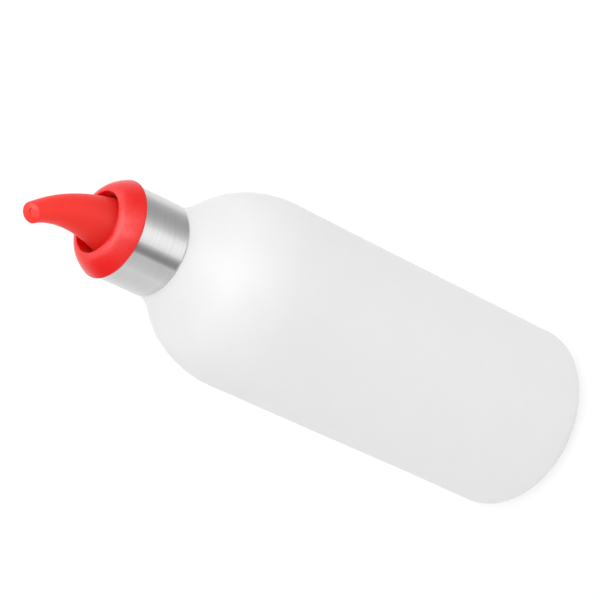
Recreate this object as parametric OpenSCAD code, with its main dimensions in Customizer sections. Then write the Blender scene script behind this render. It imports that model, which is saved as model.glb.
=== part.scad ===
// Squeeze bottle for glue, with a steel collar, a red screw ring and a soft curved spout.
// Millimetres, +Z up. The bottle stands on z = 0, its axis is the Z axis, and the spout bends to -X.

/* [Bottle] */
// Outer diameter of the straight body
body_d = 65; // [60:0.5:74]
// Height of the collar's lower edge above the base
collar_z = 166.5; // [130:0.5:220]
// Wall of the squeezable body
wall = 1.2; // [0.8:0.1:2]
// How far the collar's lower edge lies above the end of the straight wall
shoulder_rise = 39.7; // [37:0.1:46]
// Height that the domed shoulder would reach if it closed over
dome_h = 35.3; // [33:0.1:40]
// Radius at which the dome turns up to the neck
dome_end_r = 22.75; // [20:0.25:25]
// Diameter of the plain land just under the collar
land_d = 30.8; // [29:0.1:31]
// Radius of the rounded corner at the base
base_corner_r = 6; // [3:0.5:8]
// Width of the flat ring that the bottle stands on
standing_ring_w = 4; // [2:0.5:8]
// Height of the hollow under the base
push_up_h = 3; // [1:0.5:6]

/* [Neck] */
// Height of the neck above its land
neck_h = 13.5; // [13.3:0.1:18]
// Wall of the neck between its threads
neck_wall = 2.3; // [1.8:0.05:2.6]
// How far the neck's thread stands out
neck_thread_depth = 1.15; // [0.8:0.05:1.2]
// Pitch of the neck's thread
neck_pitch = 4.23; // [4:0.01:4.6]
// Turns of the neck's thread
neck_turns = 1.5; // [1:0.25:1.5]
// Width of the neck's thread at its root
neck_thread_w = 2.4; // [1.8:0.1:2.6]

/* [Closure] */
// Thickness of the sealing gasket
gasket_t = 0.8; // [0.5:0.1:1.5]
// Thickness of the closure's deck
deck_t = 1.5; // [1.2:0.1:2.5]
// Outer diameter of the steel sleeve
sleeve_d = 31.3; // [31:0.1:32]
// Sheet thickness of the steel sleeve
sleeve_t = 0.5; // [0.3:0.05:0.6]
// Wall of the closure's skirt, between the steel sleeve and the room for the neck
skirt_wall = 1.1; // [0.8:0.05:1.3]
// How far the sleeve's upper edge stands above the closure's deck
sleeve_rise = 1.8; // [1:0.1:2.2]
// Depth of the plug that seals in the neck's bore
plug_h = 4.5; // [3.5:0.1:7]
// Wall of the plug
plug_wall = 1.2; // [0.8:0.1:1.6]
// Thickness of the plug's floor, measured down from the top of the deck
hub_t = 3.5; // [3.2:0.1:4.2]
// Diameter of the orifice through the floor
orifice_d = 7.2; // [5:0.1:7.4]
// Height of the boss that the red ring screws on to
boss_h = 5; // [4.6:0.1:5.4]
// Wall of the boss between its threads
boss_wall = 1.15; // [0.9:0.05:1.4]

/* [Red ring] */
// How far the ring's widest place stands out past the sleeve
ring_overhang = 0.8; // [0.3:0.05:1.5]
// Height of the ring, from its shoulder over the sleeve to the lip of its opening
ring_h = 6.7; // [6.2:0.1:8]
// Rounding of the ring's lower corner
ring_corner = 0.45; // [0.2:0.05:0.8]
// Where on the dome's ellipse the flank starts, in degrees: more makes it more like a cone
ring_dome_start = 50; // [20:1:60]
// Wall of the ring's skirt, which reaches down into the sleeve
ring_skirt_wall = 1.05; // [0.8:0.05:1.3]
// Wall of the tube that reaches down from the opening
ring_tube_wall = 1.15; // [1:0.05:1.25]
// Depth of the thread between the ring and the boss
ring_thread_depth = 0.6; // [0.4:0.05:0.65]
// Pitch of that thread
ring_pitch = 2; // [1.9:0.05:2.1]
// Turns of that thread
ring_turns = 1.125; // [0.75:0.125:1.125]

/* [Spout] */
// Room between the spout's root and the ring's opening
spout_room = 0.55; // [0.4:0.05:1.5]
// Diameter of the spout's end
spout_tip_d = 6.8; // [5:0.1:8]
// Length of the spout's centreline above its flange
spout_len = 34.5; // [24:0.5:46]
// Lean of the spout at its root, away from the bend, in degrees
spout_lean = 8.5; // [0:0.5:10]
// Angle of the spout's end from the vertical, in degrees
spout_bend = 36; // [10:1:60]
// How hollow the taper is: 1 is a straight cone
spout_taper = 1.4; // [1:0.05:1.6]
// Height of the rounded end
spout_end_h = 1; // [0.6:0.1:2]
// Wall of the silicone
spout_wall = 1.6; // [1.2:0.1:1.8]
// Thickness of the spout's flange
flange_t = 1.5; // [1:0.1:2]
// Length of the slit in the end
slit_l = 2.6; // [1:0.1:3.2]
// Turn of the slit from the plane of the bend, in degrees
slit_turn = -40; // [-90:5:90]

/* [Inside the spout] */
// Height of the stem above the deck
stem_h = 7; // [4:0.5:8]
// Bore of the stem
stem_bore_d = 7.6; // [6:0.1:8]
// Diameter of the stem's foot
stem_foot_d = 16.2; // [15.6:0.1:16.8]
// Thickness of the stem's foot
stem_foot_t = 1.2; // [1:0.1:1.4]
// Diameter of the slit valve
valve_d = 12; // [10:0.1:12.6]
// Thickness of the slit valve
valve_t = 0.8; // [0.6:0.1:1]
// Thickness of the slip washer
washer_t = 0.8; // [0.6:0.1:1]

/* [Clearances] */
// Gap between the bottle's land and the collar
collar_gap = 0.3; // [0.3:0.05:0.6]
// Gap under the ring's skirt and under its shoulder
ring_gap = 0.3; // [0.2:0.05:0.6]
// Gap between the top of the boss and the ring's roof
roof_gap = 0.4; // [0.2:0.05:0.8]
// Gap between the bore of the boss and the ring's tube
tube_gap = 0.35; // [0.3:0.05:0.5]
// Gap between curved faces of different bodies
body_gap = 0.3; // [0.25:0.05:0.4]
// Gap between pieces that are fitted to each other
fit_gap = 0.1; // [0.05:0.01:0.1]

/* [Hidden] */

// Smoothness: pieces round a full circle, steps along a curved profile, facets of a thread and of the spout
$fn = 96;
curve_steps = 12;
thread_steps = 24;
spout_sides = 40;
spout_steps = 22;
edge_steps = 4;
// Cuts reach this far past a face, and parts that are joined sink this far into each other
past = 1;
root = 0.4;

// From the sleeve inwards, under the deck: the closure's skirt, the neck and its thread, the plug
sleeve_r = sleeve_d / 2;
sleeve_bore_r = sleeve_r - sleeve_t;
skirt_r = sleeve_bore_r - fit_gap / 2;
skirt_bore_r = skirt_r - skirt_wall;
neck_crest_r = skirt_bore_r - body_gap;
neck_r = neck_crest_r - neck_thread_depth;
bore_r = neck_r - neck_wall;
plug_r = bore_r - body_gap;

// From the sleeve inwards, over the deck: the ring's skirt and its thread, the boss, the tube, the spout
ring_skirt_r = sleeve_bore_r - body_gap;
ring_bore_r = ring_skirt_r - ring_skirt_wall;
ring_crest_r = ring_bore_r - ring_thread_depth;
boss_crest_r = ring_bore_r - body_gap;
boss_r = boss_crest_r - ring_thread_depth;
boss_bore_r = boss_r - boss_wall;
tube_r = boss_bore_r - tube_gap;
opening_r = tube_r - ring_tube_wall;
flange_r = tube_r;
root_r = opening_r - spout_room;

// Bottle
body_r = body_d / 2;
dome_z = collar_z - shoulder_rise;
land_r = land_d / 2;
land_z = collar_z - collar_gap;
ring_out_r = body_r - base_corner_r;
ring_in_r = ring_out_r - standing_ring_w;
neck_top_z = land_z + neck_h;
neck_lip_chamfer = 0.4;
// The bore opens into the shoulder this far above the land
bore_mouth_rise = 1.5;

// Closure
deck_bottom_z = neck_top_z + gasket_t;
deck_z = deck_bottom_z + deck_t;
skirt_bottom_z = collar_z + sleeve_t;
sleeve_top_z = deck_z + sleeve_rise;
boss_top_z = deck_z + boss_h;
orifice_r = orifice_d / 2;

// Neck thread: it starts this far above the land, and the closure's ridge rides this far under it
neck_thread_rise = 4.1;
flank_gap = 0.15;
neck_crest_w = neck_thread_w / 2;
skirt_crest_w = 0.8;
skirt_root_w = 1.8;
skirt_crest_r = neck_r + body_gap + fit_gap / 2;
neck_thread_z = land_z + neck_thread_rise;
skirt_drop = (neck_thread_w + skirt_crest_w) / 2 + flank_gap;

// Ring and its thread
ring_foot_z = deck_z + ring_gap;
rim_z = sleeve_top_z + ring_gap;
lip_z = rim_z + ring_h;
roof_z = boss_top_z + roof_gap;
belly_r = sleeve_r + ring_overhang;
belly_z = rim_z + ring_corner;
// The dome is the top part of an ellipse whose centre lies this far under the lip
ring_dome_w = (belly_r - opening_r) / cos(ring_dome_start);
ring_dome_h = (lip_z - belly_z) / (1 - sin(ring_dome_start));
boss_thread_rise = 2;
boss_thread_w = 1.2;
boss_crest_w = 0.6;
ring_thread_w = 0.8;
ring_crest_w = 0.4;
boss_thread_z = deck_z + boss_thread_rise;
ring_drop = (boss_thread_w + ring_crest_w) / 2 + fit_gap;

// Spout, stem, valve and washer
flange_z = deck_z + flange_t;
tip_r = spout_tip_d / 2;
foot_z = deck_z - stem_foot_t;
foot_r = stem_foot_d / 2;
valve_z = foot_z - valve_t;
valve_r = valve_d / 2;
stem_bore_r = stem_bore_d / 2;
washer_z = flange_z;
washer_top_z = washer_z + washer_t;
// The tube's foot ends this far above the flange, and keeps this wall round the washer
tube_foot_gap = 0.2;
washer_lip = 0.35;
washer_r = tube_r - washer_lip - fit_gap;
tube_foot_z = flange_z + tube_foot_gap;
slit_w = 0.15;

// Colours
white_plastic = [0.95, 0.95, 0.94];
clear_white = [0.88, 0.88, 0.86];
red_plastic = [0.86, 0.09, 0.07];
red_silicone = [0.90, 0.12, 0.09];
steel = [0.72, 0.72, 0.72];

// A thread's ridge along a helix about Z. Its root lies at radius r0 and its crest at r1, so a crest
// nearer the axis makes an inner thread. Its middle starts at height z0 and climbs a pitch a turn.
module helical_ridge(r0, r1, root_w, crest_w, z0, pitch, turns) {
    n = ceil(turns * thread_steps);
    function ridge_ring(i) =
        let (a = i / n * turns * 360,
             z = z0 + pitch * a / 360)
        [[r0 * cos(a), r0 * sin(a), z - root_w / 2],
         [r1 * cos(a), r1 * sin(a), z - crest_w / 2],
         [r1 * cos(a), r1 * sin(a), z + crest_w / 2],
         [r0 * cos(a), r0 * sin(a), z + root_w / 2]];
    points = [for (i = [0:n]) each ridge_ring(i)];
    // Each side of a step is two triangles; an outer crest turns the order round
    flip = r1 > r0;
    sides = [for (i = [0:n - 1], k = [0:3])
             let (a = 4 * i + k, b = 4 * i + (k + 1) % 4, c = a + 4, d = b + 4)
             each [[a, c, b], [b, c, d]]];
    ends = [[0, 1, 2], [0, 2, 3], [4 * n + 2, 4 * n + 1, 4 * n], [4 * n + 3, 4 * n + 2, 4 * n]];
    faces = concat(sides, ends);
    polyhedron(points, flip ? [for (f = faces) [f[2], f[1], f[0]]] : faces);
}

// Points of an arc or of an ellipse's arc, from angle a0 to a1
function arc(cx, cy, rx, ry, a0, a1, n = curve_steps) =
    [for (i = [0:n]) let (a = a0 + (a1 - a0) * i / n) [cx + rx * cos(a), cy + ry * sin(a)]];

// Points of a curve that leaves p0 towards p1 and arrives at p2 from p1, without p0 itself
function bend(p0, p1, p2, n = curve_steps) =
    [for (i = [1:n]) let (t = i / n) (1 - t) * (1 - t) * p0 + 2 * t * (1 - t) * p1 + t * t * p2];

// The shoulder: part of an ellipse from the straight wall to angle a1, then a curve that turns up
// along radius r_end to height z_end. The curve starts along the ellipse's own slope.
function shoulder(rx, rz, a1, r_end, z_end) =
    let (p0 = [rx * cos(a1), dome_z + rz * sin(a1)],
         slope = rz * cos(a1) / (rx * sin(a1)),
         p1 = [r_end, p0[1] + slope * (p0[0] - r_end)])
    concat(arc(0, dome_z, rx, rz, 0, a1), bend(p0, p1, [r_end, z_end]));

// The hollow under the base, as height over radius
function push_up(r) = push_up_h * (1 - pow(r / ring_in_r, 2));

function reversed(list) = [for (i = [len(list) - 1:-1:0]) list[i]];

// Squeeze bottle: one blown shell with its threaded neck
module bottle_body() {
    dome_end = acos(dome_end_r / body_r);
    outside = concat(
        [for (i = [0:curve_steps]) let (r = ring_in_r * i / curve_steps) [r, push_up(r)]],
        arc(ring_out_r, base_corner_r, base_corner_r, base_corner_r, -90, 0),
        shoulder(body_r, dome_h, dome_end, land_r, land_z),
        [[neck_r, land_z], [neck_r, neck_top_z - neck_lip_chamfer], [neck_r - neck_lip_chamfer, neck_top_z]]);
    inner_corner_r = base_corner_r - wall;
    inside = concat(
        [for (i = [0:curve_steps]) let (r = ring_in_r * i / curve_steps) [r, push_up(r) + wall]],
        arc(ring_out_r, base_corner_r, inner_corner_r, inner_corner_r, -90, 0),
        shoulder(body_r - wall, dome_h - wall, dome_end, bore_r, land_z + bore_mouth_rise),
        [[bore_r, neck_top_z]]);
    color(white_plastic) union() {
        rotate_extrude() polygon(concat(outside, reversed(inside)));
        helical_ridge(neck_r - root, neck_crest_r, neck_thread_w, neck_crest_w, neck_thread_z,
                      neck_pitch, neck_turns);
    }
}

// Flat sealing ring between the neck's top and the closure's deck, round the plug
module neck_gasket() {
    gasket_in_r = plug_r + fit_gap;
    gasket_out_r = neck_r;
    color(clear_white) translate([0, 0, neck_top_z]) difference() {
        cylinder(h = gasket_t, r = gasket_out_r);
        translate([0, 0, -past]) cylinder(h = gasket_t + 2 * past, r = gasket_in_r);
    }
}

// Screw cap inside the sleeve: skirt with the neck's thread, deck, plug, and boss for the red ring
module closure_shell() {
    skirt_h = deck_z - skirt_bottom_z;
    color(white_plastic) union() {
        difference() {
            union() {
                translate([0, 0, skirt_bottom_z]) cylinder(h = skirt_h, r = skirt_r);
                translate([0, 0, deck_z - root]) cylinder(h = boss_h + root, r = boss_r);
            }
            // Room for the neck, leaving the plug in its bore
            difference() {
                translate([0, 0, skirt_bottom_z - past])
                    cylinder(h = deck_bottom_z - skirt_bottom_z + past, r = skirt_bore_r);
                translate([0, 0, deck_bottom_z - plug_h]) cylinder(h = plug_h + past, r = plug_r);
            }
            // Hollow of the plug, under its floor
            translate([0, 0, deck_bottom_z - plug_h - past])
                cylinder(h = deck_z - hub_t - deck_bottom_z + plug_h + past, r = plug_r - plug_wall);
            // Orifice, seat of the valve, seat of the stem's foot, bore of the boss
            translate([0, 0, deck_z - hub_t - past]) cylinder(h = hub_t + 2 * past, r = orifice_r);
            translate([0, 0, valve_z]) cylinder(h = valve_t + past, r = valve_r + fit_gap);
            translate([0, 0, foot_z]) cylinder(h = stem_foot_t + past, r = foot_r + fit_gap);
            translate([0, 0, deck_z]) cylinder(h = boss_h + past, r = boss_bore_r);
        }
        helical_ridge(skirt_bore_r + root, skirt_crest_r, skirt_root_w, skirt_crest_w,
                      neck_thread_z - skirt_drop, neck_pitch, neck_turns);
        helical_ridge(boss_r - root, boss_crest_r, boss_thread_w, boss_crest_w, boss_thread_z,
                      ring_pitch, ring_turns);
    }
}

// Brushed steel sleeve: its lower edge is turned in under the closure's skirt, and its upper edge
// stands above the deck, round the ring's skirt
module steel_sleeve() {
    edge = sleeve_t / 2;
    lip_r = skirt_bore_r + fit_gap;
    color(steel) rotate_extrude() polygon(concat(
        [[lip_r, collar_z]],
        arc(sleeve_r - edge, collar_z + edge, edge, edge, -90, 0, edge_steps),
        arc(sleeve_r - edge, sleeve_top_z - edge, edge, edge, 0, 180, 2 * edge_steps),
        [[sleeve_bore_r, skirt_bottom_z], [lip_r, skirt_bottom_z]]));
}

// Slit valve: a flat rim and a shallow dish with a cross cut in it
module drip_valve() {
    dish_inset = 0.5;
    dish_r = orifice_r - dish_inset;
    dish_sag = 0.7;
    dish_t = 0.5;
    cut_l = 4;
    top = [for (i = [0:curve_steps]) let (r = dish_r * i / curve_steps)
           [r, valve_t - dish_sag * pow(cos(90 * i / curve_steps), 2)]];
    bottom = [for (i = [0:curve_steps]) let (r = dish_r * i / curve_steps)
              [r, valve_t - dish_t - dish_sag * pow(cos(90 * i / curve_steps), 2)]];
    color(clear_white) translate([0, 0, valve_z]) difference() {
        rotate_extrude() polygon(concat(
            bottom, [[dish_r, 0], [valve_r, 0], [valve_r, valve_t]], reversed(top)));
        for (turn = [0, 90])
            rotate([0, 0, turn]) cube([cut_l, slit_w, 4 * valve_t], center = true);
    }
}

// Radius of the spout at share t of its length, and its lean from the vertical there, in degrees
function spout_r(t) = tip_r + (root_r - tip_r) * pow(1 - t, spout_taper);
function spout_angle(t) = -spout_lean + (spout_bend + spout_lean) * t;

// Centre of the spout at share t: its lean grows evenly, so the centreline is an arc in the XZ plane
spout_arc_r = spout_len / ((spout_bend + spout_lean) * PI / 180);
function spout_centre(t) =
    [-spout_arc_r * (cos(spout_lean) - cos(spout_angle(t))), 0,
     flange_z + spout_arc_r * (sin(spout_lean) + sin(spout_angle(t)))];

// Stem: rigid tube in the spout's root, with a foot that holds the valve down
module spout_stem() {
    low_t = 0;
    high_t = (deck_z + stem_h - flange_z) / spout_len;
    // The spout leans by this much at the stem's top, so the stem stays clear of it
    lean_room = abs(spout_centre(high_t)[0]);
    low_r = spout_r(low_t) - spout_wall - body_gap - lean_room;
    high_r = spout_r(high_t) - spout_wall - body_gap - lean_room;
    color(clear_white) difference() {
        union() {
            translate([0, 0, foot_z]) cylinder(h = stem_foot_t, r = foot_r);
            translate([0, 0, deck_z - root]) cylinder(h = stem_h + root, r1 = low_r, r2 = high_r);
        }
        translate([0, 0, foot_z - past]) cylinder(h = stem_foot_t + stem_h + 2 * past, r = stem_bore_r);
    }
}

// Hard washer that sits in the foot of the ring's tube and presses on the spout's flange
module slip_washer() {
    color(clear_white) translate([0, 0, washer_z]) difference() {
        cylinder(h = washer_t, r = washer_r);
        translate([0, 0, -past]) cylinder(h = washer_t + 2 * past, r = root_r + body_gap);
    }
}

// Red ring: a dome with a round opening, a skirt in the sleeve with the boss's thread inside it, and a
// tube down to the washer
module cap_ring() {
    color(red_plastic) union() {
        difference() {
            rotate_extrude() polygon(concat(
                [[opening_r, ring_foot_z], [ring_skirt_r, ring_foot_z], [ring_skirt_r, rim_z]],
                arc(belly_r - ring_corner, belly_z, ring_corner, ring_corner, -90, 0, edge_steps),
                arc(opening_r, lip_z - ring_dome_h, ring_dome_w, ring_dome_h, ring_dome_start, 90)));
            // Room for the boss
            difference() {
                translate([0, 0, ring_foot_z - past])
                    cylinder(h = roof_z - ring_foot_z + past, r = ring_bore_r);
                translate([0, 0, ring_foot_z - 2 * past])
                    cylinder(h = lip_z - ring_foot_z, r = tube_r);
            }
            // The tube ends short of the flange, and the washer sits in its foot
            translate([0, 0, ring_foot_z - past])
                cylinder(h = tube_foot_z - ring_foot_z + past, r = tube_r + past);
            translate([0, 0, ring_foot_z - past])
                cylinder(h = washer_top_z - ring_foot_z + past, r = washer_r + fit_gap);
        }
        helical_ridge(ring_bore_r + root, ring_crest_r, ring_thread_w, ring_crest_w,
                      boss_thread_z - ring_drop, ring_pitch, ring_turns);
    }
}

// One ring of points square to the spout's centreline
function spout_ring(c, lean, r) =
    [for (k = [0:spout_sides - 1]) let (a = 360 * k / spout_sides)
     [c[0] + r * cos(a) * cos(lean), r * sin(a), c[2] + r * cos(a) * sin(lean)]];

// Soft spout: a flange that is clamped on the deck, and a hollow curved horn with a slit in its end
module spout() {
    // The rounded end stops short of its pole and closes with a small flat
    end_sweep = 80;
    end_axis = [-sin(spout_bend), 0, cos(spout_bend)];
    tip = spout_centre(1);
    outer = concat(
        [for (i = [0:spout_steps]) let (t = i / spout_steps)
         spout_ring(spout_centre(t), spout_angle(t), spout_r(t))],
        [for (i = [1:edge_steps]) let (a = end_sweep * i / edge_steps)
         spout_ring(tip + end_axis * spout_end_h * sin(a), spout_bend,
                    tip_r - spout_end_h * (1 - cos(a)))]);
    inner = concat(
        [spout_ring([0, 0, deck_z], 0, spout_r(0) - spout_wall)],
        [for (i = [0:spout_steps]) let (t = i / spout_steps * (1 - spout_wall / spout_len))
         spout_ring(spout_centre(t), spout_angle(t), spout_r(t) - spout_wall)]);
    rings = concat([spout_ring([0, 0, deck_z], 0, spout_r(0))], outer, reversed(inner));
    points = [for (ring = rings) each ring];
    n = len(rings);
    m = spout_sides;
    outer_last = len(outer);
    function strip(i, j) =
        [for (k = [0:m - 1])
         let (a = i * m + k, b = i * m + (k + 1) % m, c = j * m + k, d = j * m + (k + 1) % m)
         each [[a, c, b], [b, c, d]]];
    walls = [for (i = [0:n - 1]) if (i != outer_last) each strip(i, (i + 1) % n)];
    outer_end = [[for (k = [m - 1:-1:0]) outer_last * m + k]];
    inner_end = [[for (k = [0:m - 1]) (outer_last + 1) * m + k]];
    color(red_silicone) difference() {
        union() {
            polyhedron(points, concat(walls, outer_end, inner_end));
            translate([0, 0, deck_z]) difference() {
                cylinder(h = flange_t, r = flange_r);
                translate([0, 0, -past]) cylinder(h = flange_t + 2 * past, r = root_r - spout_wall / 2);
            }
        }
        translate(tip) rotate([0, -spout_bend, 0]) rotate([0, 0, slit_turn])
            cube([slit_l, slit_w, 4 * spout_wall], center = true);
    }
}

bottle_body();
neck_gasket();
closure_shell();
steel_sleeve();
drip_valve();
spout_stem();
slip_washer();
cap_ring();
spout();
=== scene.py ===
# %% [markdown]
# # A glue applicator bottle: dressing the CAD frame
# The real object is a soft white squeeze bottle. A brushed steel collar, a red screw ring and a curved
# red spout sit on its neck. The CAD model already has the right sizes, joints and threads, so this
# script only gives each piece its fine shape and its finish. Everything is in metres, in the frame's
# own axes: the bottle stands on z = 0, its axis is Z, and the spout bends to -X.

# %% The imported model
from math import acos, cos, pi, radians, sin, tan

import bpy
import numpy as np
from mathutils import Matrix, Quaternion, Vector


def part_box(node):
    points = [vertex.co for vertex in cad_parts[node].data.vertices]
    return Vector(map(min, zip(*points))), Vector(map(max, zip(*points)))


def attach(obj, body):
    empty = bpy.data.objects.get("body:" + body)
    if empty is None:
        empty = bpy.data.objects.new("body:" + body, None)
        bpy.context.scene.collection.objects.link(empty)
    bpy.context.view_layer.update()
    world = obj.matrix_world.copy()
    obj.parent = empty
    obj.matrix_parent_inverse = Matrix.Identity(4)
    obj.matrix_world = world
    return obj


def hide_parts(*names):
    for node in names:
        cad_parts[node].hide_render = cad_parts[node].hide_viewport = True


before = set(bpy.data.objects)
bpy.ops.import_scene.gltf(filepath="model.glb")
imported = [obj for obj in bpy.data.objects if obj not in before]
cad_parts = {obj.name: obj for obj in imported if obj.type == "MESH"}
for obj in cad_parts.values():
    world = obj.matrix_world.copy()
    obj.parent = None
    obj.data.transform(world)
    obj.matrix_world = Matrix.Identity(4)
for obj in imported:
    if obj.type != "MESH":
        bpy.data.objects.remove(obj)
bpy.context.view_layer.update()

print("nodes:", sorted(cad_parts))

# %% [markdown]
# ## Sizes
# What a piece must meet is read from the CAD boxes: the radius of the body, the collar's two edges, the
# ring's rim, belly and lip, and the spout's flange. The rest are the product's own sizes, written here
# once, in millimetres, as a maker would note them. The collar and the ring share one set of angles.

# %% Sizes from the frame
mm = 0.001
hair = 0.001 * mm    # the least distance that tells two points of a profile apart
around = np.linspace(0, 2 * pi, 256, endpoint=False)


def reach(node):
    """Radius, lowest height and highest height of a round CAD node, from its box."""
    low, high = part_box(node)
    return high.x, low.z, high.z


body_r, _, neck_top_z = reach("bottle_body")
sleeve_r, collar_z, sleeve_top_z = reach("steel_sleeve")
belly_r, ring_foot_z, lip_z = reach("cap_ring")
flange_r, deck_z, _ = reach("spout")
print("body radius %.1f mm, collar %.1f to %.1f mm, lip at %.1f mm"
      % (body_r / mm, collar_z / mm, sleeve_top_z / mm, lip_z / mm))

# %% [markdown]
# ## Surfaces as arrays
# Every new piece here is one closed skin. It could be made by spinning an edge or by stacking
# primitives, but then threads, seams and slits would be separate cuts. A grid of points is simpler:
# each row is a ring round the piece and each column runs along it, so a detail is a small change to the
# numbers in the grid. The rows run up the outside and down the inside, which turns the faces outwards.

# %% A grid of rings becomes a mesh
def skin(name, rings):
    """Mesh from an array of rings (rows, columns, 3). Columns join round each ring, and the last row
    joins the first. A row whose points all coincide is a pole: its quads become triangles."""
    rows, columns = rings.shape[:2]
    pole = np.ptp(rings, axis=1).max(axis=1) < hair
    index = np.arange(rows * columns).reshape(rows, columns)
    index[pole] = index[pole][:, :1]
    a, b = index, np.roll(index, -1, axis=1)
    d, c = np.roll(a, -1, axis=0), np.roll(b, -1, axis=0)
    quads = np.stack([a, b, c, d], axis=-1)
    next_pole = np.roll(pole, -1)
    plain = quads[~pole & ~next_pole].reshape(-1, 4)
    from_pole = quads[pole & ~next_pole][..., [0, 2, 3]].reshape(-1, 3)
    to_pole = quads[~pole & next_pole][..., [0, 1, 2]].reshape(-1, 3)
    corners = np.concatenate([plain.ravel(), from_pole.ravel(), to_pole.ravel()])
    sides = np.concatenate([np.full(len(plain), 4), np.full(len(from_pole) + len(to_pole), 3)])
    used, corners = np.unique(corners, return_inverse=True)
    mesh = bpy.data.meshes.new(name)
    mesh.vertices.add(len(used))
    mesh.vertices.foreach_set("co", rings.reshape(-1, 3)[used].astype(np.float32).ravel())
    mesh.loops.add(len(corners))
    mesh.loops.foreach_set("vertex_index", corners.astype(np.int32))
    mesh.polygons.add(len(sides))
    mesh.polygons.foreach_set("loop_start", (np.cumsum(sides) - sides).astype(np.int32))
    mesh.polygons.foreach_set("use_smooth", np.ones(len(sides), bool))
    mesh.update(calc_edges=True)
    piece = bpy.data.objects.new(name, mesh)
    bpy.context.scene.collection.objects.link(piece)
    print(name, "has", int((sides - 2).sum()), "triangles")
    return piece


# %% [markdown]
# A turned piece is drawn as a lathe hand would: a list of corners in radius and height, each with the
# radius of its rounding. Real moulded and rolled edges are never knife sharp, and it is the small
# roundings that catch the light.

# %% Profiles with rounded corners
arc_steps = 7
nearly_straight = 1.56    # half the angle of a corner that needs no rounding, in radians


def rounded(corners, step):
    """Closed profile through corners (radius, height, rounding). Each rounding is an arc that touches
    both its sides: its ends lie rounding / tan(half the corner's angle) from the corner. Straights are
    cut into lengths no longer than step."""
    at = np.array([c[:2] for c in corners], float)
    points = []
    for k, (radius, height, rounding) in enumerate(corners):
        back, ahead = at[k - 1] - at[k], at[(k + 1) % len(at)] - at[k]
        back, ahead = back / np.linalg.norm(back), ahead / np.linalg.norm(ahead)
        half = 0.5 * acos(float(np.clip(back @ ahead, -1, 1)))
        if rounding == 0 or half > nearly_straight:
            points.append(at[k][None])
            continue
        start, end = at[k] + back * rounding / tan(half), at[k] + ahead * rounding / tan(half)
        middle = at[k] + (back + ahead) / np.linalg.norm(back + ahead) * rounding / sin(half)
        sweep = pi - 2 * half
        share = np.linspace(0, 1, arc_steps + 1)[:, None]
        arc = np.sin((1 - share) * sweep) * (start - middle) + np.sin(share * sweep) * (end - middle)
        points.append(middle + arc / sin(sweep))
    return even(np.concatenate(points), step)


def even(points, step):
    """Closed profile with every straight cut into lengths no longer than step."""
    spans = np.roll(points, -1, axis=0) - points
    cuts = np.maximum(1, np.ceil(np.linalg.norm(spans, axis=1) / step)).astype(int)
    which = np.repeat(np.arange(len(points)), cuts)
    share = (np.arange(len(which)) - np.repeat(np.cumsum(cuts) - cuts, cuts)) / cuts[which]
    return points[which] + spans[which] * share[:, None]


def spun(profile, angles):
    """Rings of a profile spun about Z: x = r cos a, y = r sin a, z = height."""
    r, z = profile[:, 0, None], profile[:, 1, None] + 0 * angles
    return np.stack([r * np.cos(angles), r * np.sin(angles), z], axis=-1)


def step_out(rings, angles, distance):
    """Moves the points of spun rings away from the axis by a distance."""
    rings[..., 0] += distance * np.cos(angles)
    rings[..., 1] += distance * np.sin(angles)


# %% [markdown]
# ## The screw threads
# The neck and the red ring carry coarse moulded threads. A helix cut with a boolean leaves ragged
# triangles. Here the thread is a height field instead: at each angle the ridge's middle has climbed a
# share of the pitch, and a point's height above or below that middle says how far the wall steps out.

# %% A thread as a height field
def ramp(value, start, length):
    """0 up to start, 1 from start + length on, and even between."""
    return np.clip((value - start) / length, 0, 1)


def eased(share):
    """Rounds both ends of an even rise from 0 to 1: 3 share squared less 2 share cubed."""
    return share * share * (3 - 2 * share)


def ridge(height, angles, start_z, pitch, turns, root_w, crest_w, fade):
    """Share (0 to 1) of a thread's depth at each height and angle. For each turn, the distance from the
    ridge's middle start_z + pitch * angle / 2 pi goes through a ramp from 1 inside half the crest's
    width to 0 outside half the root's. The ridge swells and ends over an angle of fade."""
    share = np.zeros(np.broadcast(height, angles).shape)
    for turn in range(int(np.ceil(turns))):
        along = angles + 2 * pi * turn
        off = np.abs(height - start_z - pitch * along / (2 * pi))
        flank = 1 - ramp(off, crest_w / 2, (root_w - crest_w) / 2)
        ends = ramp(along, 0, fade) * (1 - ramp(along, 2 * pi * turns - fade, fade))
        share = np.maximum(share, flank * ends)
    return eased(share)


# %% [markdown]
# ## The squeeze bottle
# The real one is blow moulded: a hot tube is pinched shut by two mould halves and blown against them.
# That leaves a fine parting line up both sides, a pinched seam across the hollow base, and a wall that
# is never quite even. One spun skin with an inner wall carries all of it. The mould halves meet at the
# angles that the photograph sees edge on.

# %% Sizes of the bottle
wall = 1.2 * mm
corner_w, corner_h = 9.5 * mm, 6 * mm
standing_r = 22.5 * mm
hollow_h = 3 * mm
shoulder_z = collar_z - 39.7 * mm
dome_h = 35.3 * mm
dome_end_r = 22.75 * mm
land_r = 15.4 * mm
land_z = collar_z - 0.3 * mm
neck_r = 12.55 * mm
bore_r = 10.25 * mm
bore_start_z = land_z + 1.5 * mm
join_z = land_z - 0.31 * mm    # the dome's curve hands over to the neck's corners here
neck_round, neck_top_round, bore_round = 0.3 * mm, 0.35 * mm, 0.5 * mm
neck_thread_h = 1.15 * mm
neck_thread = {"start_z": land_z + 4.1 * mm, "pitch": 4.23 * mm, "turns": 1.5, "root_w": 2.4 * mm,
               "crest_w": 1.2 * mm, "fade": radians(25)}
parting_angle = radians(137)
parting_h, parting_half_w = 0.05 * mm, 0.25 * mm
pinch_h, pinch_half_w, pinch_half_len, pinch_fade = 0.35 * mm, 0.6 * mm, 18 * mm, 2 * mm
unevenness = 0.12 * mm
print("shoulder starts at %.1f mm, neck's land at %.1f mm" % (shoulder_z / mm, land_z / mm))


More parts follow.
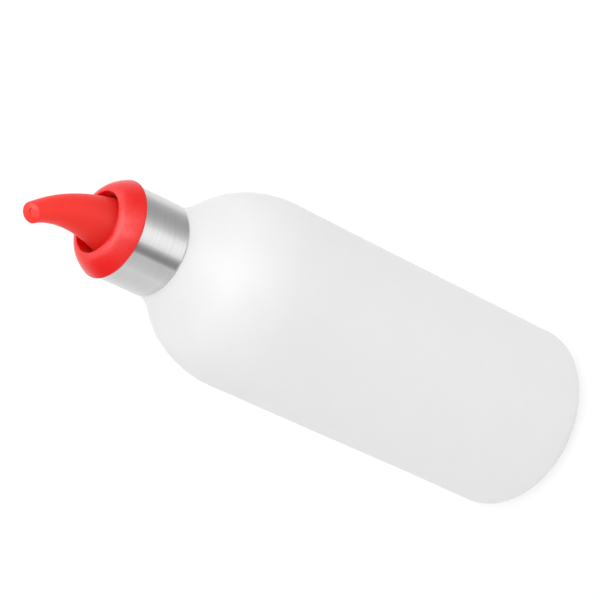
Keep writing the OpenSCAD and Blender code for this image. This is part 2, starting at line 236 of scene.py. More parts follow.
# %% The wall's outline
def dome(rx, rz, end_r, end_z, n=36):
    """Shoulder profile: part of an ellipse about shoulder_z, then a curve bent by one control point that
    leaves along the ellipse's slope and arrives upright at end_r, end_z."""
    stop = acos(dome_end_r / body_r)
    a = np.linspace(0, stop, n)
    ellipse = np.stack([rx * np.cos(a), shoulder_z + rz * np.sin(a)], axis=-1)
    r0, z0 = ellipse[-1]
    z1 = z0 + rz * cos(stop) / (rx * sin(stop)) * (r0 - end_r)
    t = np.linspace(0, 1, n)[1:, None]
    bend = (1 - t) ** 2 * [r0, z0] + 2 * t * (1 - t) * np.array([end_r, z1]) + t ** 2 * [end_r, end_z]
    return np.concatenate([ellipse, bend])


def base(lift, n=30):
    """Base profile from the axis to the corner's end: a shallow parabola, the standing ring, and a
    quarter of an ellipse that is wider than it is high."""
    r = np.linspace(0, standing_r, n)
    hollow = np.stack([r, lift + hollow_h * (1 - (r / standing_r) ** 2)], axis=-1)
    a = np.linspace(-pi / 2, 0, 14)
    corner = np.stack([body_r - corner_w + (corner_w - lift) * np.cos(a),
                       corner_h + (corner_h - lift) * np.sin(a)], axis=-1)
    return np.concatenate([hollow, corner])


def neck_outline():
    """Profile of the neck from the land outside, over the top, to the bore's start inside. It is closed
    through the shoulder, so that every corner has two sides, and that closing part is cut off again."""
    neck = rounded([(land_r, land_z, neck_round), (neck_r, land_z, neck_round),
                    (neck_r, neck_top_z, neck_top_round), (bore_r, neck_top_z, neck_round),
                    (bore_r, bore_start_z, bore_round), (bore_r, shoulder_z, 0), (land_r, shoulder_z, 0)],
                   step=0.2 * mm)
    neck = neck[(neck[:, 1] > join_z) & (neck[:, 0] < land_r - hair)]
    return neck[(neck[:, 0] > bore_r + hair) | (neck[:, 1] > bore_start_z)]


outside = np.concatenate([base(0), dome(body_r, dome_h, land_r, land_z)])
inside = np.concatenate([base(wall), dome(body_r - wall, dome_h - wall, bore_r, bore_start_z)])
bottle_profile = np.concatenate([outside[outside[:, 1] < join_z], neck_outline(), inside[::-1]])
apart = np.linalg.norm(np.diff(bottle_profile, axis=0), axis=1) > hair
bottle_profile = bottle_profile[np.r_[True, apart]]
print("bottle profile has", len(bottle_profile), "points")

# %% [markdown]
# Columns crowd together at the parting line, so that a ridge half a millimetre wide still has several
# faces across it, while the rest of the round keeps its plain spacing.

# %% Columns and height fields of the bottle
def crowded(middles, half_width, fine, coarse):
    """Angles round a ring: coarse evenly spaced ones, and fine close ones within half_width of each
    middle."""
    plain = np.linspace(0, 2 * pi, coarse, endpoint=False)
    close = np.concatenate([m + np.linspace(-half_width, half_width, fine) for m in middles]) % (2 * pi)
    near = np.min([np.abs((plain - m + pi) % (2 * pi) - pi) for m in middles], axis=0) < half_width
    return np.sort(np.concatenate([plain[~near], close]))


def seam(distance, half_width):
    """Cross section of a fine raised line: 1 on it, falling to 0 at half_width, with rounded feet."""
    return eased(1 - ramp(np.abs(distance), 0, half_width))


def bottle_wall(radius, height, angles):
    """How far the outside steps out at each point: the parting line, less a slow unevenness of the body.
    The unevenness is two waves, two and three times round, that lean as they climb."""
    margin = 1 * mm
    on_wall = (height > margin) & (height < land_z - 2 * margin) & (radius > land_r + margin)
    wave = (2 + np.cos(2 * angles + 30 * height) + np.cos(3 * angles - 55 * height + 1)) / 4
    foot, fade_in, fade_out = 8 * mm, 20 * mm, 30 * mm
    body = ramp(height, foot, fade_in) * (1 - ramp(height, shoulder_z + dome_h - fade_out, fade_out))
    line = seam(radius * np.sin(angles - parting_angle), parting_half_w)
    return parting_h * on_wall * line - unevenness * body * wave


def neck_wall(height, angles):
    """How far the neck steps out at each point: its thread, clear of the land and of the rim."""
    margin = 0.5 * mm
    on_neck = (height > land_z + margin) & (height < neck_top_z - margin)
    return neck_thread_h * on_neck * ridge(height, angles, **neck_thread)


# %% The bottle's skin
def make_bottle():
    """Spun profile plus height fields. The radius gains the wall's and the neck's steps on the outside,
    which ends at the profile's highest point; the base gains the pinched seam along the parting plane."""
    profile = even(bottle_profile, step=2 * mm)
    angles = crowded([parting_angle, parting_angle + pi], radians(1.6), fine=9, coarse=160)
    rings = spun(profile, angles)
    radius, height = profile[:, 0, None], profile[:, 1, None]
    outer = (np.arange(len(profile)) <= np.argmax(profile[:, 1]))[:, None]
    step_out(rings, angles, outer * (bottle_wall(radius, height, angles) + neck_wall(height, angles)))
    under = outer & (height < hollow_h + hair) & (radius < standing_r)
    end = 1 - ramp(radius, pinch_half_len - pinch_fade, pinch_fade)
    pinch = seam(radius * np.sin(angles - parting_angle), pinch_half_w)
    rings[..., 2] -= pinch_h * under * end * pinch
    return skin("bottle_skin", rings)


bottle_skin = make_bottle()
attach(bottle_skin, "bottle")
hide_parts("bottle_body")

# %% [markdown]
# ## The steel collar
# A band of thin stainless sheet is rolled into a cup: its lower edge is turned in, and its upper edge is
# deburred round. It is thin, so its profile is drawn closed, with both faces of the sheet, and not as a
# single skin that a Solidify modifier would thicken.

# %% Steel collar
sheet = 0.5 * mm
turned_in_r = 14.1 * mm
turned_in_round, collar_foot_round, deburr = 0.2 * mm, 0.25 * mm, 0.24 * mm


def make_collar():
    """Spun profile of the sheet: a plain band with a rounded turn at the foot."""
    inner_r = sleeve_r - sheet
    profile = rounded([(turned_in_r, collar_z, turned_in_round), (sleeve_r, collar_z, collar_foot_round),
                       (sleeve_r, sleeve_top_z, deburr), (inner_r, sleeve_top_z, deburr),
                       (inner_r, collar_z + sheet, 0), (turned_in_r, collar_z + sheet, turned_in_round)],
                      step=0.5 * mm)
    return skin("steel_collar", spun(profile, around))


steel_collar = make_collar()
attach(steel_collar, "cap")
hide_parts("steel_sleeve")

# %% [markdown]
# ## The red ring
# The ring is one hard moulding: a domed top with a round opening, a tube that reaches down to press on
# the spout's flange, and a skirt with a coarse thread inside that hides in the collar. The profile goes
# over the rounded lip, down the opening, round the tube's foot with its washer seat, back along the
# cavity, up the skirt's outside and round the crisp lower corner on to the dome.

# %% Red ring
rim_z = sleeve_top_z + 0.3 * mm
belly_z = rim_z + 0.5 * mm
rim_round = 0.45 * mm
dome_start = radians(50)
opening_r = 10.25 * mm
lip_round = 0.3 * mm
tube_r = 11.4 * mm
tube_foot_z = deck_z + 1.7 * mm
seat_r = 11.05 * mm
seat_z = deck_z + 2.3 * mm
cavity_r = 13.8 * mm
roof_z = deck_z + 5.4 * mm
skirt_r = 14.85 * mm
hidden_round, foot_round, crisp, tight = 0.3 * mm, 0.2 * mm, 0.1 * mm, 0.05 * mm
ring_thread_h = 0.6 * mm
ring_thread = {"start_z": deck_z + 1.1 * mm, "pitch": 2 * mm, "turns": 1.125, "root_w": 0.8 * mm,
               "crest_w": 0.4 * mm, "fade": radians(20)}


def dome_top():
    """Outline of the dome: the top part of an ellipse, from the angle dome_start at the widest place to
    the opening, where it is level. It stops where the lip's rounding begins."""
    a = np.linspace(dome_start, pi / 2, 90)
    half_w = (belly_r - opening_r) / cos(dome_start)
    half_h = (lip_z - belly_z) / (1 - sin(dome_start))
    top = np.stack([opening_r + half_w * np.cos(a), lip_z - half_h * (1 - np.sin(a))], axis=-1)
    return top[top[:, 0] > opening_r + lip_round]


def make_ring():
    """Spun profile of the dome, the opening, the tube, the cavity and the skirt. The cavity's wall steps
    in by the thread."""
    top = dome_top()
    corners = [(opening_r, top[-1, 1], lip_round), (opening_r, seat_z, crisp), (seat_r, seat_z, tight),
               (seat_r, tube_foot_z, tight), (tube_r, tube_foot_z, crisp), (tube_r, roof_z, hidden_round),
               (cavity_r, roof_z, hidden_round), (cavity_r, ring_foot_z, foot_round),
               (skirt_r, ring_foot_z, foot_round), (skirt_r, rim_z, crisp), (belly_r, rim_z, rim_round)]
    profile = rounded(corners + [(r, z, 0) for r, z in top], step=0.25 * mm)
    rings = spun(profile, around)
    radius, height = profile[:, 0, None], profile[:, 1, None]
    on_cavity = (np.abs(radius - cavity_r) < hair) & (height < roof_z - hidden_round)
    step_out(rings, around, -ring_thread_h * on_cavity * ridge(height, around, **ring_thread))
    return skin("ring_shell", rings)


ring_shell = make_ring()
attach(ring_shell, "ring")
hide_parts("cap_ring")

# %% [markdown]
# ## The soft spout
# The spout is one silicone moulding. Its flange is clamped under the ring, and its hollow horn leans a
# little one way at the root and then bends the other way. The end is almost flat, with a bowed slit that
# stays shut until the bottle is squeezed. The horn could be a curve with a bevel, but then its end and
# its slit would be cuts. Here each ring is an ellipse on its own slanted plane. On the end face the rings
# shrink from a circle to a thin, bowed ellipse, dive through the wall as the slit, and come back as the
# bore.

# %% The spout's path
root_r = 9.7 * mm
tip_r = 3.4 * mm
spout_wall = 1.6 * mm
spout_len = 34.5 * mm
root_lean = radians(8.5)
end_lean = radians(36)
taper = 1.4
flange_top_z = deck_z + 1.5 * mm
arc_r = spout_len / (root_lean + end_lean)
print("horn bends on a radius of %.1f mm" % (arc_r / mm))


def horn(t):
    """Centre, lean and outer radius at share t of the horn's length. The lean grows evenly, so the
    centreline is a circular arc in the XZ plane, and the radius falls as (1 - t) to the power taper."""
    lean = -root_lean + (root_lean + end_lean) * t
    x = -arc_r * (cos(root_lean) - np.cos(lean))
    z = flange_top_z + arc_r * (sin(root_lean) + np.sin(lean))
    return x, z, lean, tip_r + (root_r - tip_r) * (1 - t) ** taper


# %% [markdown]
# The slit is measured from its middle: half its length, and half of how far it stands open. It lies
# turned and a little off the centre of the end, as it does on the real one.

# %% Slanted rings
slit_half_len, slit_half_open = 1.3 * mm, 0.18 * mm
slit_turn = radians(-41)
slit_along, slit_across = 0.55 * mm, -0.68 * mm
slit_bow = 0.68 * mm
slit_lip = 0.12 * mm
end_dome, end_round = 0.6 * mm, 0.6 * mm
crowding = 1.3
spout_angles = np.linspace(0, 2 * pi, 144, endpoint=False)
print("slit is %.1f mm long and stands open by %.2f mm" % (2 * slit_half_len / mm, 2 * slit_half_open / mm))


def slanted(place, long_r, short_r, lift, slit_share=0):
    """Rings in planes tilted about Y; place holds their centres' x and z and their lean. Each is an
    ellipse whose long axis lies along the slit, and lift raises its points along the plane's normal.
    slit_share moves the ring to the slit's own line: off the centre, and bowed by a parabola."""
    x, z, lean, long_r, short_r, slit_share = (
        np.atleast_1d(v)[:, None] for v in (*place, long_r, short_r, slit_share))
    along, across = long_r * np.cos(spout_angles - slit_turn), short_r * np.sin(spout_angles - slit_turn)
    bow = slit_bow * (1 - np.minimum(1, (along / slit_half_len) ** 2))
    along, across = along + slit_share * slit_along, across + slit_share * (slit_across + bow)
    u = along * cos(slit_turn) - across * sin(slit_turn)
    v = along * sin(slit_turn) + across * cos(slit_turn)
    return np.stack([x + u * np.cos(lean) - lift * np.sin(lean), v + 0 * x,
                     z + u * np.sin(lean) + lift * np.cos(lean)], axis=-1)


# %% [markdown]
# The end face is where the horn's last circle turns into the slit. Its rings shrink by shares that
# crowd together near the slit, and rise by a shallow dome, so the face stays smooth.

# %% The spout's closed end
def end_face(tip):
    """Rings over the end, and the height of the last one: the horn's rounded rim, a quarter of a circle,
    then the domed face up to the slit's lip. The dome falls with the square of the distance from the
    axis, and the shares fall as (1 - t) to the power crowding."""
    a = np.linspace(0, pi / 2, 7)[1:, None]
    rim_r = (tip_r - end_round * (1 - np.cos(a)))[:, 0]
    rim = slanted(tip, rim_r, rim_r, end_round * np.sin(a))
    face_r = tip_r - end_round
    share = (1 - np.linspace(0, 1, 24)[1:]) ** crowding
    inner_long, inner_short = slit_half_len + slit_lip, slit_half_open + slit_lip
    long_r = inner_long + (face_r - inner_long) * share
    short_r = inner_short + (face_r - inner_short) * share
    long_part = long_r[:, None] * np.cos(spout_angles - slit_turn)
    short_part = short_r[:, None] * np.sin(spout_angles - slit_turn)
    lift = end_round + end_dome * (1 - (long_part ** 2 + short_part ** 2) / face_r ** 2)
    return np.concatenate([rim, slanted(tip, long_r, short_r, lift, 1 - share)]), lift[-1]


def slit_rings(tip, face_lift):
    """Rings through the slit: its rounded lip, its walls down to the wall's inner side, and the bore's
    closed end, which grows from the slit back to a circle."""
    b = np.linspace(0, pi / 2, 6)[1:]
    edge = slit_lip * (1 - np.sin(b))
    lip = slanted(tip, slit_half_len + edge, slit_half_open + edge,
                  face_lift - slit_lip * (1 - np.cos(b))[:, None], 1)
    depth = np.linspace(0, 1, 7)[1:, None]
    wall_top, wall_foot = face_lift - slit_lip, -spout_wall
    walls = slanted(tip, np.full(6, slit_half_len), np.full(6, slit_half_open),
                    wall_top + (wall_foot - wall_top) * depth, 1)
    grown = np.linspace(0, 1, 8)[1:-1]
    end_r = tip_r - spout_wall
    bore_end = slanted(tip, slit_half_len + (end_r - slit_half_len) * grown,
                       slit_half_open + (end_r - slit_half_open) * grown, wall_foot, 1 - grown)
    return np.concatenate([lip, walls, bore_end])


# %% The soft spout
def flange_outline():
    """Profile of the flange from the bore's foot to the horn's root. It is closed through the horn, so
    that every corner has two sides, and that closing part is cut off again."""
    bore_foot_r = root_r - spout_wall
    bore_foot_round, flange_round, root_round, root_z = 0.2 * mm, 0.3 * mm, 0.15 * mm, 0.1 * mm
    foot = rounded([(bore_foot_r, deck_z, bore_foot_round), (flange_r, deck_z, flange_round),
                    (flange_r, flange_top_z, flange_round), (root_r, flange_top_z, root_round),
                    (root_r, lip_z, 0), (bore_foot_r, lip_z, 0)], step=0.2 * mm)
    foot = foot[foot[:, 1] < flange_top_z + root_z]
    return foot[(foot[:, 0] > bore_foot_r + hair) | (foot[:, 1] < deck_z + bore_foot_round + hair)]


def make_spout():
    """Rings in order: horn, end face, slit, bore and flange. The bore is the horn less its wall."""
    *outer_place, outer_r = horn(np.linspace(0, 1, 100))
    outer = slanted(outer_place, outer_r, outer_r, 0)
    *tip, _ = horn(1.0)
    face, face_lift = end_face(tip)
    *bore_place, bore_outer_r = horn(np.linspace(1 - spout_wall / spout_len, 0, 60))
    bore = slanted(bore_place, bore_outer_r - spout_wall, bore_outer_r - spout_wall, 0)
    flange = spun(flange_outline(), spout_angles)
    return skin("soft_spout", np.concatenate([outer[1:], face, slit_rings(tip, face_lift), bore, flange]))


soft_spout = make_spout()
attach(soft_spout, "spout")
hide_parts("spout")

# %% [markdown]
# ## Finishes
# Each finish is a small tree of nodes. Linking Math nodes one by one hides what they work out. Here a
# wire wraps one output socket, so that sums and products of wires read like ordinary sums in Python and
# still become nodes.

# %% Shader maths as Python
class Wire:
    """One output socket of a node tree. Arithmetic on wires adds Math nodes."""

    def __init__(self, tree, socket):
        self.tree, self.socket = tree, socket

    def _math(self, operation, first, second):
        return self.tree.node("ShaderNodeMath", {"operation": operation}, {0: first, 1: second})

    def __add__(self, other):
        return self._math("ADD", self, other)

    def __radd__(self, other):
        return self._math("ADD", other, self)

    def __sub__(self, other):
        return self._math("SUBTRACT", self, other)

    def __rsub__(self, other):
        return self._math("SUBTRACT", other, self)

    def __mul__(self, other):
        return self._math("MULTIPLY", self, other)

    def __rmul__(self, other):
        return self._math("MULTIPLY", other, self)

    def clamp(self):
        return self._math("MINIMUM", self._math("MAXIMUM", self, 0.0), 1.0)


# %% [markdown]
# A tree has one method that adds a node, and short methods for the patterns that the finishes share.
# Patterns are placed by Object coordinates, in metres, so they have their real size and stay put when a
# piece moves.

# %% Node trees
class Tree:
    """A node tree, emptied, in which node() is the one way to add a node."""

    def __init__(self, nodes_and_links):
        self.nodes, self.links = nodes_and_links.nodes, nodes_and_links.links
        self.nodes.clear()

    def node(self, kind, settings=None, inputs=None, output=0):
        """Adds a node: its settings first, then the values or wires of its sockets."""
        made = self.nodes.new(kind)
        for key, value in (settings or {}).items():
            setattr(made, key, value)
        for key, value in (inputs or {}).items():
            if isinstance(value, Wire):
                self.links.new(value.socket, made.inputs[key])
            else:
                made.inputs[key].default_value = value
        return Wire(self, made.outputs[output]) if made.outputs else made

    def blend(self, factor, first, second):
        """Mixes two colours by a wire. A Mix node has a set of sockets for each kind of value, and some
        share a name, so they are picked by number: the colours are 6 and 7, and their mix is output 2."""
        return self.node("ShaderNodeMix", {"data_type": "RGBA"}, {0: factor, 6: first, 7: second}, output=2)

    def place(self, scale=(1, 1, 1)):
        """Object coordinates in metres, stretched by scale."""
        here = self.node("ShaderNodeTexCoord", output="Object")
        return self.node("ShaderNodeMapping", {}, {"Vector": here, "Scale": scale})

    def share_of_height(self, low, high):
        """0 below the height low, 1 above high, and even between."""
        here = self.node("ShaderNodeTexCoord", output="Object")
        z = self.node("ShaderNodeSeparateXYZ", {}, {"Vector": here}, output="Z")
        return ((z - low) * (1 / (high - low))).clamp()

    def noise(self, place, scale, detail, rough=0.5):
        """Cloudy noise from 0 to 1. Its lumps are about 1 / scale metres across."""
        return self.node("ShaderNodeTexNoise", {}, {"Vector": place, "Scale": scale, "Detail": detail,
                                                    "Roughness": rough})

    def relief(self, height, depth):
        """Bends the surface's normal as if height, from 0 to 1, were depth metres of real relief."""
        return self.node("ShaderNodeBump", {}, {"Height": height, "Distance": depth, "Strength": 1.0})


# %% [markdown]
# Every finish is one Principled shader with its own colour, roughness and fine relief. No real surface
# has just one colour and one roughness all over, so each gets a little unevenness of its own size.

# %% A finish, and a piece that wears it
def finish(name, colour, rough, normal, **constants):
    """A material with one Principled shader. colour, rough and normal are functions that take the tree
    and give a wire of it; constants are set on the shader's own sockets."""
    material = bpy.data.materials.new(name)
    material.use_nodes = True
    tree = Tree(material.node_tree)
    inputs = {"Base Color": colour(tree), "Roughness": rough(tree), "Normal": normal(tree)}
    inputs.update({key.replace("_", " "): value for key, value in constants.items()})
    shader = tree.node("ShaderNodeBsdfPrincipled", {}, inputs)
    tree.node("ShaderNodeOutputMaterial", {}, {"Surface": shader})
    print("finish", name, "has", len(tree.nodes), "nodes")
    return material


def clothe(piece, material):
    """Gives a piece, new or from the CAD model, one material."""
    piece.data.materials.clear()
    piece.data.materials.append(material)


# %% [markdown]
# ## White squeezable plastic
# The bottle is soft natural-white polyethylene: nearly white, satin, with the fine grain of a blasted
# mould and a slow mottling where the wall is thicker or thinner. A glossy paint shader would look like
# enamel, so the gloss is broad and the grain is only microns deep. Light that enters comes out again a
# few millimetres away, which is what makes such plastic look milky and its shadows soft.

# %% White plastic
all_colours_alike = (0.9, 0.9, 0.9)
white_plastic = finish(
    "white_plastic",
    lambda t: t.blend(t.noise(t.place(), 90, 3), (0.855, 0.86, 0.86, 1), (0.885, 0.885, 0.88, 1)),
    lambda t: 0.5 + 0.1 * t.noise(t.place(), 160, 3),
    lambda t: t.relief(t.noise(t.place(), 2600, 2) * 0.6 + t.noise(t.place(), 260, 1) * 0.4, 0.012 * mm),
    Subsurface_Weight=0.4, Subsurface_Radius=all_colours_alike, Subsurface_Scale=4 * mm, IOR=1.38)
clothe(bottle_skin, white_plastic)

# %% [markdown]
# ## Brushed steel
# The collar is spun against an abrasive belt, so its scratches run round it. They are far too fine to
# model, and they stretch a reflection across the scratches, along the collar. Noise squeezed along Z
# gives rings of slightly different roughness and depth, and the shader's anisotropy does the stretching.

# %% Brushed steel
def scratches(tree, width, detail):
    """Noise squeezed along Z: rings about width tall that run on for a few centimetres."""
    return tree.noise(tree.place((25, 25, 1 / width)), 1, detail, 0.6)


brushed_steel = finish(
    "brushed_steel",
    lambda t: t.blend(scratches(t, 0.1 * mm, 3) * 0.5 + scratches(t, 0.5 * mm, 3) * 0.5,
                      (0.50, 0.50, 0.505, 1), (0.78, 0.78, 0.78, 1)),
    lambda t: 0.2 + 0.1 * scratches(t, 0.08 * mm, 2),
    lambda t: t.relief(scratches(t, 0.06 * mm, 2) * 0.6 + scratches(t, 0.4 * mm, 2) * 0.4, 0.004 * mm),
    Metallic=1.0, Anisotropic=0.85, Anisotropic_Rotation=0.25)
clothe(steel_collar, brushed_steel)

# %% [markdown]
# ## Red plastic and red silicone
# The ring is a hard moulding with a satin skin, so its highlights are soft but clear. The spout is
# silicone of the same red: duller, with a faint dusty sheen. Light passes into it, so the narrow end looks
# lighter than the thick root, and the root lies in the shade of the ring's recess. Here that light and that
# shade are painted into the colour itself, which gets lighter with the height and bakes as it looks.

# %% The two reds
red_plastic = finish(
    "red_plastic",
    lambda t: t.blend(t.noise(t.place(), 140, 3), (0.79, 0.006, 0.006, 1), (0.85, 0.010, 0.009, 1)),
    lambda t: 0.24 + 0.07 * t.noise(t.place(), 300, 3),
    lambda t: t.relief(t.noise(t.place(), 420, 1), 0.003 * mm), IOR=1.43)


def silicone_red_painted_light(tree):
    """Painted light and shade: deep red at the flange, where the ring's recess shades the root, and lighter
    towards the narrow end, where light passes through, with a little cloudiness.
    """
    # painted light and shade: the colour gets lighter with the height, for light through the narrow end and
    # shade at the root
    painted_light_share = tree.share_of_height(flange_top_z, flange_top_z + 0.8 * spout_len)
    cloud = tree.noise(tree.place(), 200, 4)
    return tree.blend(painted_light_share * 0.8 + cloud * 0.2, (0.77, 0.010, 0.006, 1), (0.98, 0.022, 0.010, 1))


red_silicone = finish(
    "red_silicone",
    silicone_red_painted_light,
    lambda t: 0.44 + 0.12 * t.noise(t.place(), 500, 3),
    lambda t: t.relief(t.noise(t.place(), 4200, 2), 0.008 * mm),
    Sheen_Weight=0.02, Sheen_Roughness=0.5, IOR=1.38)
clothe(ring_shell, red_plastic)
clothe(soft_spout, red_silicone)

# %% [markdown]
# ## The pieces inside
# With the ring off and the cap unscrewed, the closure, its gasket, the valve, the stem and the washer
# come into view. Their CAD shapes are already right, so they stay and only get a finish each.

# %% Finishes of the carried-over nodes
cap_plastic = finish(
    "cap_plastic",
    lambda t: t.blend(t.noise(t.place(), 120, 2), (0.80, 0.80, 0.79, 1), (0.86, 0.86, 0.85, 1)),
    lambda t: 0.3 + 0.12 * t.noise(t.place(), 260, 2),
    lambda t: t.relief(t.noise(t.place(), 2400, 2), 0.01 * mm), IOR=1.49)
milky_rubber = finish(
    "milky_rubber",
    lambda t: t.blend(t.noise(t.place(), 400, 3), (0.72, 0.73, 0.72, 1), (0.80, 0.80, 0.79, 1)),
    lambda t: 0.5 + 0.15 * t.noise(t.place(), 900, 3),
    lambda t: t.relief(t.noise(t.place(), 5000, 2), 0.008 * mm),
    Subsurface_Weight=0.3, Subsurface_Radius=all_colours_alike, Subsurface_Scale=0.8 * mm, IOR=1.42)
foam_liner = finish(
    "foam_liner",
    lambda t: t.blend(t.noise(t.place(), 1500, 4), (0.74, 0.75, 0.76, 1), (0.84, 0.84, 0.84, 1)),
    lambda t: 0.62 + 0.2 * t.noise(t.place(), 1500, 3),
    lambda t: t.relief(t.noise(t.place(), 3500, 3), 0.03 * mm), IOR=1.45)
inner_finishes = {"closure_shell": cap_plastic, "spout_stem": cap_plastic, "slip_washer": cap_plastic,
                  "drip_valve": milky_rubber, "neck_gasket": foam_liner}
for node, material in inner_finishes.items():
    clothe(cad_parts[node], material)
print("finishes:", sorted(m.name for m in bpy.data.materials if m.users))

# %% [markdown]
# ## Camera
# The photograph looks down at the bottle with a long lens, and the frame is rolled so that the bottle
# lies across it. The camera is placed by its direction, its distance and the point it looks at, which
# is easier to read and to change than a matrix.

# %% Camera
view_azimuth, view_height, view_roll = radians(-42.97), radians(35.884), radians(-64.52)
view_distance = 0.8337
aim = Vector((-0.015067, -0.023652, 0.127893))
back = Vector((sin(view_azimuth) * cos(view_height), -cos(view_azimuth) * cos(view_height),
               sin(view_height)))
lens = bpy.data.cameras.new("photo_lens")
lens.lens, lens.sensor_width = 158.84, 36
lens.clip_start, lens.clip_end = 0.01, 20
camera = bpy.data.objects.new("photo_camera", lens)
camera.rotation_mode = "QUATERNION"
camera.location = aim + back * view_distance
camera.rotation_quaternion = (-back).to_track_quat("-Z", "Y") @ Quaternion((0, 0, 1), view_roll)
bpy.context.scene.collection.objects.link(camera)
bpy.context.scene.camera = camera
print("camera %.2f m away, with a %.0f mm lens" % (view_distance, lens.lens))

# %% [markdown]
# ## Light and ground
# Studio light for a white product comes from all round: a bright room, a big soft lamp, and a white
# floor that throws light back. The floor and the room look pure white to the camera because part of
# what it sees of them is their own colour, and not because more light is poured on the bottle. The floor
# keeps the bottle's shadow.

# %% Floor
def flat_sheet(name, centre, side, up):
    """Flat sheet about a centre, given by its two half sides as vectors."""
    mesh = bpy.data.meshes.new(name)
    mesh.from_pydata([centre - side - up, centre + side - up, centre + side + up, centre - side + up], [],
                     [(0, 1, 2, 3)])
    made = bpy.data.objects.new(name, mesh)
    bpy.context.scene.collection.objects.link(made)
    return made


def seen_directly(tree):
    """1 for rays from the camera, from gloss or through glass, and 0 for the rays that carry light."""
    camera_ray, glossy_ray, glass_ray = (
        tree.node("ShaderNodeLightPath", output=kind)
        for kind in ("Is Camera Ray", "Is Glossy Ray", "Is Transmission Ray"))
    return (camera_ray + glossy_ray + glass_ray).clamp()


floor_shade, floor_glow, own_white_share = 0.9, 1.06, 0.7


def floor_finish():
    """Pale matt floor: part diffuse, part its own white as the camera, gloss or glass sees it."""
    material = bpy.data.materials.new("pale_floor")
    material.use_nodes = True
    tree = Tree(material.node_tree)
    matt = tree.node("ShaderNodeBsdfDiffuse", {}, {"Color": (floor_shade, floor_shade, floor_shade, 1)})
    own = tree.node("ShaderNodeEmission", {}, {"Color": (1, 1, 1, 1), "Strength": floor_glow})
    share = seen_directly(tree) * own_white_share
    both = tree.node("ShaderNodeMixShader", {}, {0: share, 1: matt, 2: own})
    tree.node("ShaderNodeOutputMaterial", {}, {"Surface": both})
    return material


floor_half = 3
floor = flat_sheet("floor", Vector((0, 0, 0)), Vector((floor_half, 0, 0)), Vector((0, floor_half, 0)))
clothe(floor, floor_finish())
print("floor is", 2 * floor_half, "m wide")

# %% [markdown]
# The room gives its plain level of light to the bottle, while the camera and the gloss on the pieces
# see it as pure white.

# %% Room
room_light = 0.64
world = bpy.data.worlds.new("white_room")
world.use_nodes = True
bpy.context.scene.world = world
room = Tree(world.node_tree)
level = seen_directly(room) * (1 - room_light) + room_light
background = room.node("ShaderNodeBackground", {}, {"Color": (1, 1, 1, 1), "Strength": level})
room.node("ShaderNodeOutputWorld", {}, {"Surface": background})
print("room light", room_light)

# %% [markdown]
# ## Lamp and cards
# One big lamp stands above the collar, a little to the side, so that the shoulder and the ring get their
# soft bright places. A metal collar in a white room has nothing to show: photographers stand black, grey
# and white cards round it, so that its steel gets dark and bright bands. Here the cards are seen only by
# gloss, so those bands and the ring's sharper highlights are painted reflections. Each thing is placed by
# its direction round the bottle, turned from the camera's side.

# %% Lamp
def towards(turn):
    """Level direction from the bottle's axis, turned about Z from the camera's side."""
    return Vector((sin(view_azimuth + turn), -cos(view_azimuth + turn), 0))


def soft_lamp(name, turn, far, height, size, power):
    """Square lamp aimed at the collar, at a distance from the bottle's axis and a height."""
    lamp = bpy.data.lights.new(name, "AREA")
    lamp.shape, lamp.size, lamp.energy = "SQUARE", size, power
    made = bpy.data.objects.new(name, lamp)
    made.location = towards(turn) * far + Vector((0, 0, height))
    made.rotation_mode = "QUATERNION"
    made.rotation_quaternion = (Vector((0, 0, collar_z)) - made.location).to_track_quat("-Z", "Y")
    bpy.context.scene.collection.objects.link(made)
    print("lamp", name, power, "W")


soft_lamp("key", turn=radians(18), far=0.08, height=0.75, size=2, power=9.7)

# %% [markdown]
# The cards are seen by reflections only, and they take no light from the bottle; they cast neither light
# nor shadow on it. So they are painted reflections: the dark ones paint dark bands, and the glowing ones,
# with shade above 1, paint highlights. A band that lies at an angle on the collar mirrors what stands at
# twice that angle. Each card fades to clear at its two sides, because brushed metal has no sharp
# reflections.

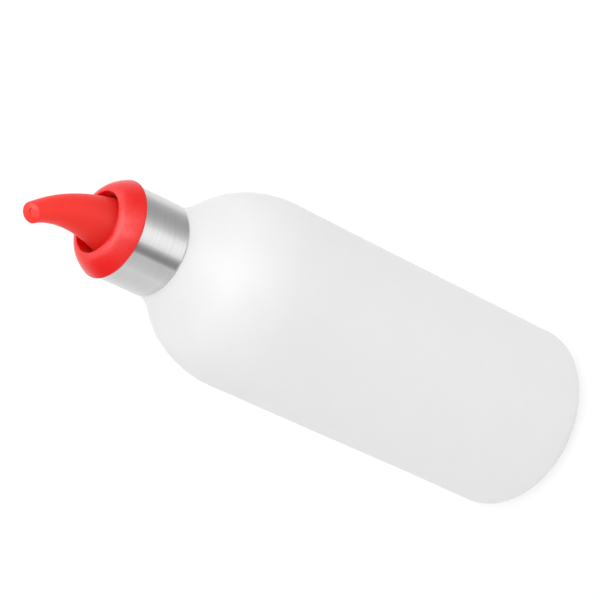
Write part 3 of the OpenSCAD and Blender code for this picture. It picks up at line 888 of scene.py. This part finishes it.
# %% Cards
def card(name, centre, side, up, shade, soft=1.0):
    """Flat card of one grey, or with a glow where shade is above 1, that only reflections see: a painted
    reflection that casts no light or shadow. It fades to clear at its sides: its cover is soft times
    1 - across squared, where across runs from -1 to 1."""
    made = flat_sheet(name, centre, side, up)
    made.visible_camera = made.visible_diffuse = made.visible_transmission = made.visible_shadow = False
    made.data.attributes.new("across", "FLOAT", "POINT").data.foreach_set("value", [-1.0, 1.0, 1.0, -1.0])
    material = bpy.data.materials.new(name + "_grey")
    material.use_nodes = True
    tree = Tree(material.node_tree)
    across = tree.node("ShaderNodeAttribute", {"attribute_name": "across"}, output="Fac")
    cover = ((1 - across * across) * soft).clamp()
    clear = tree.node("ShaderNodeBsdfTransparent")
    glow = tree.node("ShaderNodeEmission", {}, {"Color": (1, 1, 1, 1), "Strength": shade})
    both = tree.node("ShaderNodeMixShader", {}, {0: cover, 1: clear, 2: glow})
    tree.node("ShaderNodeOutputMaterial", {}, {"Surface": both})
    clothe(made, material)
    print(name, "shade", shade)


def upright_card(name, turn, width, shade, far=0.16, low=0.001, high=0.5):
    """Card between two heights that faces the bottle. width is its angle as the bottle sees it."""
    out = towards(turn)
    side = Vector((out.y, -out.x, 0)) * far * tan(width / 2)
    card(name, out * far + Vector((0, 0, (low + high) / 2)), side, Vector((0, 0, (high - low) / 2)), shade)


# painted reflections: these cards give the collar its dark and bright bands, seen only by gloss
upright_card("card_black", turn=radians(-15), width=radians(37), shade=0.2)
upright_card("card_pale", turn=radians(-32), width=radians(72), shade=0.72)
upright_card("card_white", turn=radians(23), width=radians(36), shade=1.24)
upright_card("card_grey", turn=radians(82), width=radians(88), shade=0.47)
# painted highlight: a glowing card seen only in reflections, for the soft bright places on the ring's flank
upright_card("card_softbox_painted_highlight", turn=radians(32), width=radians(70), shade=2.5, far=0.5, low=0.24, high=0.6)
upright_card("card_dim", turn=radians(-90), width=radians(90), shade=0.1, far=0.5, high=0.7)
front, right = towards(0), towards(radians(90))
overhead = front * 0.4 + right * 0.1 + Vector((0, 0, 0.75))
# painted highlight: a glowing card seen only in reflections, for the ring's lip and the shoulder's bright
# place
card("card_overhead_painted_highlight", overhead, side=right * 0.5, up=front * 0.6, shade=5, soft=1.5)
bpy.context.scene.view_settings.view_transform = "Standard"
